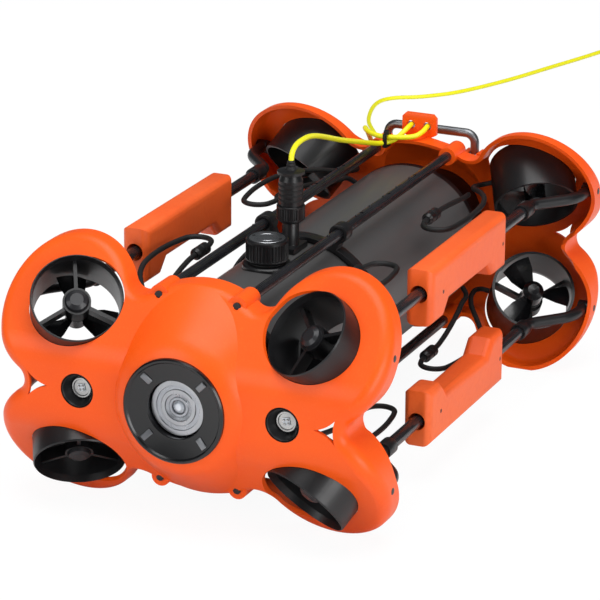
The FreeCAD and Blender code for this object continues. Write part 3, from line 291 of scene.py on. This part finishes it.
bpy.ops.mesh.primitive_plane_add(size=30)
floor = bpy.context.object
floor.name = "studio_floor"
paper = Finish("studio_paper")
paper.set(Base_Color=paper.mix(paper.noise(0.8), rgb(226, 226, 226), rgb(230, 230, 230)), Roughness=0.9,
          Specular_IOR_Level=0.0)
seen = Value(paper.tree, paper.node("ShaderNodeLightPath").outputs["Is Camera Ray"])
glow = Value(paper.tree, paper.node("ShaderNodeEmission", Color=rgb(255, 255, 255), Strength=1.04).outputs[0])
lit = Value(paper.tree, paper.shader.outputs[0])
blend = paper.node("ShaderNodeMixShader", i0=seen * FLOOR_GLOW, i1=lit, i2=glow)
paper.tree.links.new(blend.outputs[0], paper.tree.nodes["Material Output"].inputs[0])
floor.data.materials.append(paper.material)
floor.location.z = -0.0002
soft_lamp("lamp_above", (0.25, -0.3, 2.6), (0, 0, 0.1), 2.4, 50)
soft_lamp("lamp_bow", (-1.1, -2.2, 1.2), (0, -0.1, 0.1), 1.3, 13)
soft_lamp("lamp_port", (2.5, -1.3, 0.8), (0, 0, 0.1), 1.7, 34)
world = bpy.data.worlds.new("studio")
bpy.context.scene.world = world
world.use_nodes = True
sky = world.node_tree.nodes["Background"]
path = world.node_tree.nodes.new("ShaderNodeLightPath")
shade = world.node_tree.nodes.new("ShaderNodeMix")
shade.data_type = "RGBA"
shade.inputs[6].default_value = rgb(236, 238, 240)
shade.inputs[7].default_value = rgb(112, 114, 116)
world.node_tree.links.new(path.outputs["Is Glossy Ray"], shade.inputs[0])
world.node_tree.links.new(shade.outputs[2], sky.inputs["Color"])
sky.inputs["Strength"].default_value = 0.5
bpy.context.scene.view_settings.view_transform = "Standard"
print("studio ready")

# %% [markdown]
# ## Finishes
# Each finish has its own colour, gloss and fine relief: moulded shells with a spark-eroded grain, skinned
# foam, anodised tube, potted motors, turned and blasted metal, and a rubber cable jacket.

# %% Finishes
def plastic(name, light, dark, rough, grain, depth, coat=0.0, mottle=14):
    """Moulded plastic: cloudy colour, handling marks in the gloss, and the mould's fine grain."""
    f = Finish(name)
    cloud = f.noise(mottle, 4)
    marks = f.noise(60, 5, 0.7)
    relief = f.noise(grain, 2) + f.noise(grain * 0.27, 3) * 0.6
    f.set(Base_Color=f.mix(cloud.above(0.35, 0.35) * 0.8, dark, light),
          Roughness=rough + (marks - 0.5) * 0.16, Coat_Weight=coat + (marks - 0.5) * coat * 0.5,
          Coat_Roughness=0.12, Normal=f.bump(relief, depth))
    return f.material


def metal(name, light, dark, rough, stretch=(1, 1, 1), scale=300, metallic=1.0, depth=0.00002, coat=0.0):
    """Worked metal: the tool's lines or blasting as fine relief, and a slow change of tone."""
    f = Finish(name)
    lines = f.noise(scale, 4, 0.6, stretch)
    tone = f.noise(22, 3)
    f.set(Base_Color=f.mix(tone.above(0.3, 0.4), dark, light), Metallic=metallic,
          Roughness=rough + (lines - 0.5) * 0.22, Coat_Weight=coat + (tone - 0.5) * coat * 0.3,
          Normal=f.bump(lines, depth))
    return f.material


def shell_finish(name):
    """Orange moulding: a slow change of tone, pale specks in the colour, and the mould's grain."""
    f = Finish(name)
    cloud = f.noise(9, 4)
    marks = f.noise(70, 5, 0.7)
    specks = f.cells(900)
    relief = f.noise(1700, 2) + f.noise(420, 3) * 0.5
    orange = f.mix(cloud.above(0.3, 0.4), rgb(246, 84, 12), rgb(250, 93, 16))
    f.set(Base_Color=f.mix(specks.above(0.62, 0.2) * 0.25, orange, rgb(253, 108, 34)),
          Roughness=0.37 + (marks - 0.5) * 0.14, Coat_Weight=0.08 + (cloud - 0.5) * 0.08,
          Coat_Roughness=0.3, Specular_IOR_Level=0.26, Normal=f.bump(relief, 0.00005))
    return f.material


def foam_finish(name):
    f = Finish(name)
    beads = f.cells(260)
    cloud = f.noise(12, 4)
    orange = f.mix(cloud.above(0.3, 0.4), rgb(242, 92, 28), rgb(248, 106, 42))
    f.set(Base_Color=f.mix(beads.above(0.5, 0.3) * 0.18, orange, rgb(232, 82, 24)),
          Roughness=0.46 + (cloud - 0.5) * 0.2, Normal=f.bump(beads + f.noise(900, 3) * 0.7, 0.00006))
    return f.material


def hull_finish(name):
    """Hard anodised and polished tube, with fine turning lines round it and dust in the coat."""
    f = Finish(name)
    lines = f.noise(900, 3, 0.6, (0.02, 1, 0.02))
    dust = f.noise(150, 6, 0.75)
    f.set(Base_Color=f.mix(dust.above(0.62, 0.2) * 0.2, rgb(98, 97, 97), rgb(120, 119, 118)), Metallic=0.4,
          Roughness=0.42 + (lines - 0.5) * 0.06 + dust.above(0.6, 0.2) * 0.08,
          Coat_Weight=0.12 + (dust - 0.5) * 0.1, Coat_Roughness=0.25, Normal=f.bump(lines, 0.000004))
    return f.material


def jacket_finish(name):
    """The tether's yellow jacket: slightly waxy, with scuffs and a fine extruded grain."""
    f = Finish(name)
    scuffs = f.noise(210, 5, 0.7)
    f.set(Base_Color=f.mix(scuffs.above(0.58, 0.2) * 0.5, rgb(243, 238, 18), rgb(214, 206, 20)),
          Roughness=0.4 + (scuffs - 0.5) * 0.25, Normal=f.bump(f.noise(1300, 3), 0.00004))
    return f.material


def window_finish(name):
    """The clear window: a little dirt keeps it from vanishing."""
    f = Finish(name)
    smear = f.noise(90, 5, 0.7)
    f.set(Base_Color=f.mix(smear.above(0.5, 0.3) * 0.4, rgb(250, 252, 255), rgb(236, 240, 244)),
          Roughness=0.02 + smear.above(0.55, 0.3) * 0.06, IOR=1.2, Transmission_Weight=1.0,
          Normal=f.bump(smear, 0.000004))
    return f.material


def board_finish(name):
    f = Finish(name)
    tracks = f.cells(500)
    f.set(Base_Color=f.mix(tracks.above(0.35, 0.1), rgb(20, 96, 52), rgb(170, 150, 70)),
          Roughness=0.35 + tracks * 0.3, Normal=f.bump(tracks, 0.00005))
    return f.material


BLACK = rgb(16, 16, 18)
FINISHES = {
    "orange_shell": shell_finish("shell_orange"),
    "orange_foam": foam_finish("foam_orange"),
    "black_plastic": plastic("moulded_black", rgb(24, 24, 26), BLACK, 0.38, 1500, 0.00004, 0.08),
    "black_gloss": plastic("polished_black", rgb(17, 17, 19), rgb(11, 11, 13), 0.22, 2400, 0.00001, 0.15),
    "hull_black": hull_finish("hull_anodised"),
    "rail_black": metal("rail_anodised", rgb(50, 50, 54), rgb(28, 28, 31), 0.28, (1, 0.03, 1), 1100, 0.45,
                        coat=0.35),
    "motor_black": metal("motor_potted", rgb(42, 42, 45), rgb(22, 22, 25), 0.4, scale=500, metallic=0.3,
                         coat=0.2),
    "grey_metal": metal("bail_blasted", rgb(158, 160, 163), rgb(120, 122, 126), 0.42, scale=1500,
                        depth=0.00004),
    "cap_grey": metal("cap_turned", rgb(206, 208, 211), rgb(170, 172, 176), 0.3, (1, 1, 0.05), 900),
    "steel": metal("screw_steel", rgb(208, 208, 206), rgb(158, 158, 158), 0.25, scale=900),
    "window": window_finish("window_clear"),
    "lamp_lens": plastic("lens_clear", rgb(232, 236, 240), rgb(214, 219, 226), 0.1, 900, 0.00001, 0.9),
    "seal_rubber": plastic("rubber_black", rgb(28, 28, 29), rgb(17, 17, 18), 0.6, 900, 0.00008),
    "tether_yellow": jacket_finish("tether_jacket"),
    "board_green": board_finish("coated_boards"),
    "cell_grey": plastic("cell_wrap", rgb(66, 66, 70), rgb(46, 46, 50), 0.4, 800, 0.00003),
}
slot_of = {part["node"]: part["material_slot"] for part in frame["record"]["subparts"]}
for name, node in frame["nodes"].items():
    node.data.materials.clear()
    node.data.materials.append(FINISHES[slot_of[name]])
tether.data.materials.append(FINISHES["tether_yellow"])
print(len(FINISHES), "finishes on", len(frame["nodes"]), "nodes")

# %% [markdown]
# ## Ways to make pieces
# A round piece is drawn out of a circle, ring by ring, as a lathe's profile, and then turned to its axis. A
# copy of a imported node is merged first, because its triangles are loose, then smoothed and rounded.

# %% Ways to make pieces
def only(piece):
    bpy.ops.object.select_all(action="DESELECT")
    piece.select_set(True)
    bpy.context.view_layer.objects.active = piece


def smooth(piece, degrees=35):
    only(piece)
    bpy.ops.object.shade_smooth_by_angle(angle=math.radians(degrees))


def rounded(piece, width, segments=2, degrees=40):
    """Edges sharper than degrees are rounded, by a bevel that is applied."""
    edge = piece.modifiers.new("edges", "BEVEL")
    edge.width, edge.segments = width * MM, segments
    edge.limit_method, edge.angle_limit = "ANGLE", math.radians(degrees)
    edge.harden_normals = False
    only(piece)
    bpy.ops.object.modifier_apply(modifier="edges")


def turn_to(axis):
    return Vector(axis).to_track_quat("Z", "Y").to_matrix().to_4x4()


def finished(piece, name, finish, body="vehicle"):
    """Names a piece, gives it its finish and lets it ride on its body."""
    piece.name = piece.data.name = name
    piece.data.materials.clear()
    piece.data.materials.append(FINISHES[finish])
    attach(piece, body)
    return piece


def lathe(profile, sides=48, ring=False):
    """Circles of (radius, height) in millimetres, drawn one from the other along Z. The last is joined to the
    first in a ring, and otherwise both ends are closed."""
    radius, height = profile[0]
    bpy.ops.object.select_all(action="DESELECT")
    bpy.ops.mesh.primitive_circle_add(vertices=sides, radius=radius * MM, location=(0, 0, 0))
    piece = bpy.context.object
    bpy.ops.object.mode_set(mode="EDIT")
    bpy.ops.mesh.select_all(action="SELECT")
    bpy.ops.transform.translate(value=(0, 0, height * MM))
    for radius_next, height_next in profile[1:]:
        bpy.ops.mesh.extrude_region_move(
            TRANSFORM_OT_translate={"value": (0, 0, (height_next - height) * MM)})
        share = radius_next / radius
        bpy.ops.transform.resize(value=(share, share, 1), center_override=(0, 0, height_next * MM))
        radius, height = radius_next, height_next
    if not ring:
        bpy.ops.mesh.edge_face_add()
    bpy.ops.mesh.select_all(action="DESELECT")
    bpy.ops.mesh.select_non_manifold()
    if ring:
        bpy.ops.mesh.bridge_edge_loops()
    else:
        bpy.ops.mesh.edge_face_add()
    bpy.ops.mesh.select_all(action="SELECT")
    bpy.ops.mesh.normals_make_consistent(inside=False)
    bpy.ops.object.mode_set(mode="OBJECT")
    return piece


def seat(piece, place, axis, spin=0.0):
    """Puts a piece's own Z on axis at place, by moving its mesh."""
    piece.data.transform(Matrix.Translation(place) @ turn_to(axis) @ Matrix.Rotation(spin, 4, "Z"))
    piece.data.update()
    return piece


def fluted(piece, every, depth, low, high):
    """Sinks every second pair of side columns between two heights, as a cut knurl."""
    for v in piece.data.vertices:
        if low * MM <= v.co.z <= high * MM and v.co.xy.length > 1e-4:
            column = round(math.atan2(v.co.y, v.co.x) / (2 * math.pi) * every * 2)
            if column % 2:
                share = 1 - depth * MM / v.co.xy.length
                v.co.x, v.co.y = v.co.x * share, v.co.y * share


def merged_copy(node, name, round_by=0.0, degrees=35, body="vehicle"):
    """A node's merged copy with soft edges, which stands for the node."""
    source = frame["nodes"][node]
    piece = bpy.data.objects.new(name, source.data.copy())
    bpy.context.scene.collection.objects.link(piece)
    only(piece)
    bpy.ops.object.mode_set(mode="EDIT")
    bpy.ops.mesh.select_all(action="SELECT")
    bpy.ops.mesh.remove_doubles(threshold=2e-6)
    bpy.ops.mesh.customdata_custom_splitnormals_clear()
    bpy.ops.mesh.dissolve_limited(angle_limit=math.radians(0.4))
    bpy.ops.object.mode_set(mode="OBJECT")
    if round_by:
        rounded(piece, round_by, degrees=degrees + 10)
    smooth(piece, degrees)
    finished(piece, name, slot_of[node], body)
    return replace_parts(piece, node)


def surface(node, start, direction):
    """Where a ray meets a node, and the surface's normal there."""
    found, place, normal, _ = frame["nodes"][node].ray_cast(start, direction)
    if not found:
        raise ValueError(f"no surface of {node} from {tuple(start)}")
    return place, normal


# %% [markdown]
# ## Window
# The bezel is a glossy dished ring with four grey pads on its diagonals. In the window the camera's barrel
# shows as silver rings round a small bright lens.

# %% Window
FACE_Y = -0.2478
GLASS_Y = -0.2382
AHEAD = -Y
BARREL_PLACE = (0, GLASS_Y - 0.0012, AXIS)
PAD_LENGTH, PAD_WIDTH, PAD_HEIGHT = 8.6, 4.6, 1.6
PAD_RADIUS, PAD_DEPTH, PAD_LEAN = 29.2, 2.1, math.radians(13)
bezel = lathe([(29.9, -14.4), (29.9, -9.5), (21.1, -9.5), (21.1, -4.6), (21.6, -4.2), (23, -4.0),
               (34.6, -1.3), (35.6, -0.2), (36.2, 0), (37.0, 0), (38, -1.0), (38, -14.4)],
              96, ring=True)
seat(bezel, (0, FACE_Y, AXIS), AHEAD)
smooth(bezel, 28)
finished(bezel, "window_bezel_dished", "black_gloss")
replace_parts(bezel, "window_bezel")
for corner in range(4):
    bpy.ops.mesh.primitive_cube_add(size=1)
    pad = bpy.context.object
    pad.data.transform(Matrix.Diagonal((PAD_LENGTH * MM, PAD_WIDTH * MM, PAD_HEIGHT * MM, 1)))
    lean = Matrix.Rotation(-PAD_LEAN, 4, "Y")
    pad.data.transform(Matrix.Translation((PAD_RADIUS * MM, 0, -PAD_DEPTH * MM)) @ lean)
    rounded(pad, 1.5, 3, 30)
    smooth(pad)
    seat(pad, (0, FACE_Y, AXIS), AHEAD, math.radians(45 + 90 * corner))
    finished(pad, f"bezel_pad_{corner + 1}", "grey_metal")
rings = lathe([(20.4, -6.0), (20.4, -0.9), (20.0, -0.5), (16.6, -0.5), (16.2, -1.4), (13.4, -1.4),
               (12.9, -0.9), (10.2, -0.9), (9.8, -1.9), (7.6, -2.4), (7.0, -1.9), (5.4, -1.9), (4.8, -3.6),
               (1.2, -4.2)], 96)
seat(rings, BARREL_PLACE, AHEAD)
smooth(rings, 30)
finished(rings, "camera_barrel", "cap_grey")
pupil = lathe([(4.4, -3.4), (4.3, -2.6), (3.4, -1.7), (1.8, -1.2), (0.3, -1.05)], 48)
seat(pupil, BARREL_PLACE, AHEAD)
smooth(pupil, 60)
finished(pupil, "camera_front_lens", "lamp_lens")
print("window with", len(bezel.data.polygons), "faces in its bezel")

# %% [markdown]
# ## Lamps
# Each lamp is a deep black cup. Its lens sits in a bright ring over a pale square emitter, and a turned
# groove runs inside the cup's mouth.

# %% Lamps
LAMP_X = 0.078
LAMP_FACE_Y = -0.2385
LENS_DEPTH = 8.8                    # millimetres, as the profiles are
LAMP_SPIN = math.radians(12)
for side, sign in SIDES.items():
    mouth = Vector((sign * LAMP_X, LAMP_FACE_Y, AXIS))
    rim = lathe([(11.1, -1.6), (11.1, -0.5), (11.4, 0.0), (12.3, 0.0), (12.6, -0.4), (12.45, -1.6)], 64,
                ring=True)
    seat(rim, mouth, AHEAD)
    smooth(rim)
    finished(rim, f"lamp_rim_{side}", "black_gloss")
    ring = lathe([(7.6, 0.4 - LENS_DEPTH), (7.6, 1.5 - LENS_DEPTH), (7.2, 1.9 - LENS_DEPTH),
                  (6.2, 1.9 - LENS_DEPTH), (5.7, 1.0 - LENS_DEPTH)], 64)
    seat(ring, mouth, AHEAD)
    smooth(ring, 25)
    finished(ring, f"lamp_ring_{side}", "steel")
    bpy.ops.mesh.primitive_cube_add(size=1)
    emitter = bpy.context.object
    emitter.data.transform(Matrix.Diagonal((5.4 * MM, 5.4 * MM, 0.8 * MM, 1)))
    rounded(emitter, 0.25)
    seat(emitter, mouth - AHEAD * (LENS_DEPTH - 1.4) * MM, AHEAD, LAMP_SPIN)
    finished(emitter, f"lamp_emitter_{side}", "lamp_lens")
    for quarter in range(4):
        chip = lathe([(0.85, 0), (0.85, 0.5), (0.6, 0.8), (0.1, 0.9)], 20)
        chip.data.transform(Matrix.Translation((1.35 * MM, 1.35 * MM, 0)))
        seat(chip, mouth - AHEAD * (LENS_DEPTH - 1.7) * MM, AHEAD, LAMP_SPIN + math.radians(90 * quarter))
        smooth(chip)
        finished(chip, f"lamp_chip_{side}_{quarter + 1}", "steel")
print("lamps done")

# %% [markdown]
# ## Service port cap, plug and collar
# The port's cap is a black knurled knob with a pale turned disc let into its top. The tether plug is black
# too, with grip grooves, and its locking collar is knurled.

# %% Caps and collar
PORT = Vector((0, -0.0914, AXIS))
knob = lathe([(12.5, 62.6), (14.6, 62.6), (15.4, 63.6), (15.4, 64.4), (15.4, 64.6), (15.4, 76.2),
              (15.4, 76.4), (15.3, 78.2), (14.6, 79.2), (13.4, 79.2), (13.2, 78.7), (1.0, 78.7)], 144)
fluted(knob, 36, 0.75, 64.5, 76.3)
seat(knob, PORT, Z)
smooth(knob, 25)
finished(knob, "port_knob", "black_plastic", "port_cap")
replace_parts(knob, "port_cap")
disc = lathe([(13.0, 78.5), (13.0, 79.0), (12.7, 79.25), (8.2, 79.25), (8.0, 79.05), (7.6, 79.05),
              (7.4, 79.25), (1.0, 79.3)], 96)
seat(disc, PORT, Z)
smooth(disc, 20)
finished(disc, "port_knob_disc", "cap_grey", "port_cap")
# Two pin holes are not cut: each is a dark disc standing on the pale disc, painted shade for a hole.
for mark in range(2):
    pin_hole_painted_shade = lathe([(1.3, 79.22), (1.3, 79.34), (0.2, 79.34)], 24)
    pin_hole_painted_shade.data.transform(Matrix.Translation(((-1) ** mark * 10.4 * MM, 0, 0)))
    seat(pin_hole_painted_shade, PORT, Z)
    finished(pin_hole_painted_shade, f"port_knob_pin_hole_{mark + 1}", "seal_rubber", "port_cap")
SOCKET = Vector((0, -0.05, AXIS))
collar = lathe([(8.95, 81), (10.0, 81), (10.38, 81.4), (10.38, 82.2), (10.38, 82.3), (10.38, 90.4),
                (10.38, 90.5), (10.38, 91.5), (10.0, 92), (8.95, 92)], 120, ring=True)
fluted(collar, 30, 0.5, 82.25, 90.45)
seat(collar, SOCKET, Z)
smooth(collar, 25)
finished(collar, "plug_collar_knurled", "black_plastic", "plug_collar")
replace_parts(collar, "plug_collar")
GRIP_FOOT, GRIP_PITCH = 95.5, 3.6
for groove in range(4):
    foot = GRIP_FOOT + groove * GRIP_PITCH
    band = lathe([(8.7, foot), (9.25, foot + 0.3), (9.25, foot + 1.5), (8.7, foot + 1.8)], 64)
    seat(band, SOCKET, Z)
    smooth(band)
    finished(band, f"plug_grip_{groove + 1}", "seal_rubber")
relief = lathe([(4.2, 118.2), (4.0, 119.6), (3.1, 121), (3.3, 121.6), (3.3, 122.4), (2.7, 123), (2.9, 123.6),
                (2.9, 124.4), (2.1, 125.2)], 40)
seat(relief, SOCKET, Z)
smooth(relief, 30)
finished(relief, "tether_strain_relief", "seal_rubber")
print("caps done")

# %% [markdown]
# ## Screws
# Dark socket screws hold the shells to the rails, the arms in the lobes and the floats on their rails. Each
# head has a rounded rim; its six-sided socket is not cut but drawn as a dark six-sided ring on the head, as
# painted shade. Small studs stand along the top rails.

# %% Screws
def screw(name, place, axis, radius, finish, height=0.9, sunk=0.2):
    """A socket head: a rounded disc, with a dark six-sided ring standing on it as painted shade for the
    recess, which is not cut.
    """
    head = lathe([(radius * 0.98, -1.2), (radius, height * 0.6), (radius * 0.94, height * 0.9),
                  (radius * 0.82, height)], 36)
    seat(head, Vector(place) - Vector(axis) * sunk * MM, axis)
    smooth(head, 40)
    finished(head, name, finish)
    # The socket: a dark six-sided ring standing just proud of the head, painted shade in place of a cut
    # recess.
    key = lathe([(radius * 0.5, height - 0.1), (radius * 0.5, height + 0.04), (radius * 0.42, height + 0.05),
                 (radius * 0.4, height - 0.05)], 6)
    seat(key, Vector(place) - Vector(axis) * sunk * MM, axis)
    finished(key, name + "_socket", "seal_rubber")


SCREW_X, SCREW_Z = 0.0297, 0.0677
ARM_Y, ARM_Z = 0.2075, 0.0481
FLOAT_ROWS, FLOAT_Z = (-0.058, 0.062), 0.0455
STUD_PITCH, STUD_MIDDLE = 0.026, 0.0285
HOLE = 0.0024           # just outside a screw's hole
STUD_HOLE = 0.0075      # from where a stud's ray falls, clear of the rail's own holes, to the stud
FAR_Y, FAR_X, FAR_Z = 0.4, 0.3, 0.3     # where rays start, outside the vehicle
for end, facing in ENDS.items():
    shell = f"{end}_shell"
    for side, across in SIDES.items():
        for level, up in LEVELS.items():
            beside_hole = Vector((across * (SCREW_X + HOLE), facing * FAR_Y, AXIS + up * SCREW_Z))
            place, normal = surface(shell, beside_hole, (0, -facing, 0))
            screw(f"shell_screw_{end}_{side}_{level}", place - X * across * HOLE, Y * facing, 2.9,
                  "motor_black")
            beside_hole = Vector((across * FAR_X, facing * (ARM_Y + HOLE), AXIS + up * ARM_Z))
            place, normal = surface(shell, beside_hole, (-across, 0, 0))
            screw(f"arm_screw_{end}_{side}_{level}", place - Y * facing * HOLE, normal, 2.5,
                  "motor_black", 0.5, 0.3)
for side, across in SIDES.items():
    for level, up in LEVELS.items():
        node = f"float_{side}_{level}"
        for row, along in enumerate(FLOAT_ROWS):
            place, normal = surface(node, (across * FAR_X, along, AXIS + up * FLOAT_Z), (-across, 0, 0))
            screw(f"float_screw_{side}_{level}_{row + 1}", place, normal, 1.9, "motor_black", 0.4, 0.4)
for side, across in SIDES.items():
    for row in range(-3, 4):
        beside_stud = (across * SCREW_X, row * STUD_PITCH + STUD_MIDDLE - STUD_HOLE, FAR_Z)
        place, _ = surface("top_rails", beside_stud, (0, 0, -1))
        stud = lathe([(1.25, -0.8), (1.25, 0.5), (0.9, 0.9)], 20)
        seat(stud, place + Y * STUD_HOLE, Z)
        smooth(stud)
        finished(stud, f"rail_stud_{side}_{row + 4}", "motor_black")
print("screws done")

# %% [markdown]
# ## Moulded and cut edges
# No real edge is quite sharp. The floats, the arms, the clamp, the tether's fittings, the battery cap, the
# port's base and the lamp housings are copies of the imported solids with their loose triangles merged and
# their edges rounded, so that each edge takes light. Each width is in millimetres.

# %% Moulded and cut edges
EDGES = {f"float_{side}_{level}": 1.6 for side in SIDES for level in LEVELS}
EDGES.update({"arms_front": 0.5, "arms_rear": 0.5, "hull_clamp": 0.4, "tether_lug": 0.6, "battery_cap": 0.5,
              "tether_socket": 0.6, "tether_tie": 0.3, "port_base": 0.4, "light_housings": 0.3})
for node, width in EDGES.items():
    merged_copy(node, node + "_edged", width, body="battery_cap" if node == "battery_cap" else "vehicle")
print(len(EDGES), "nodes with softened edges")

# %% [markdown]
# ## Last step

# %% Update the scene
bpy.context.view_layer.update()
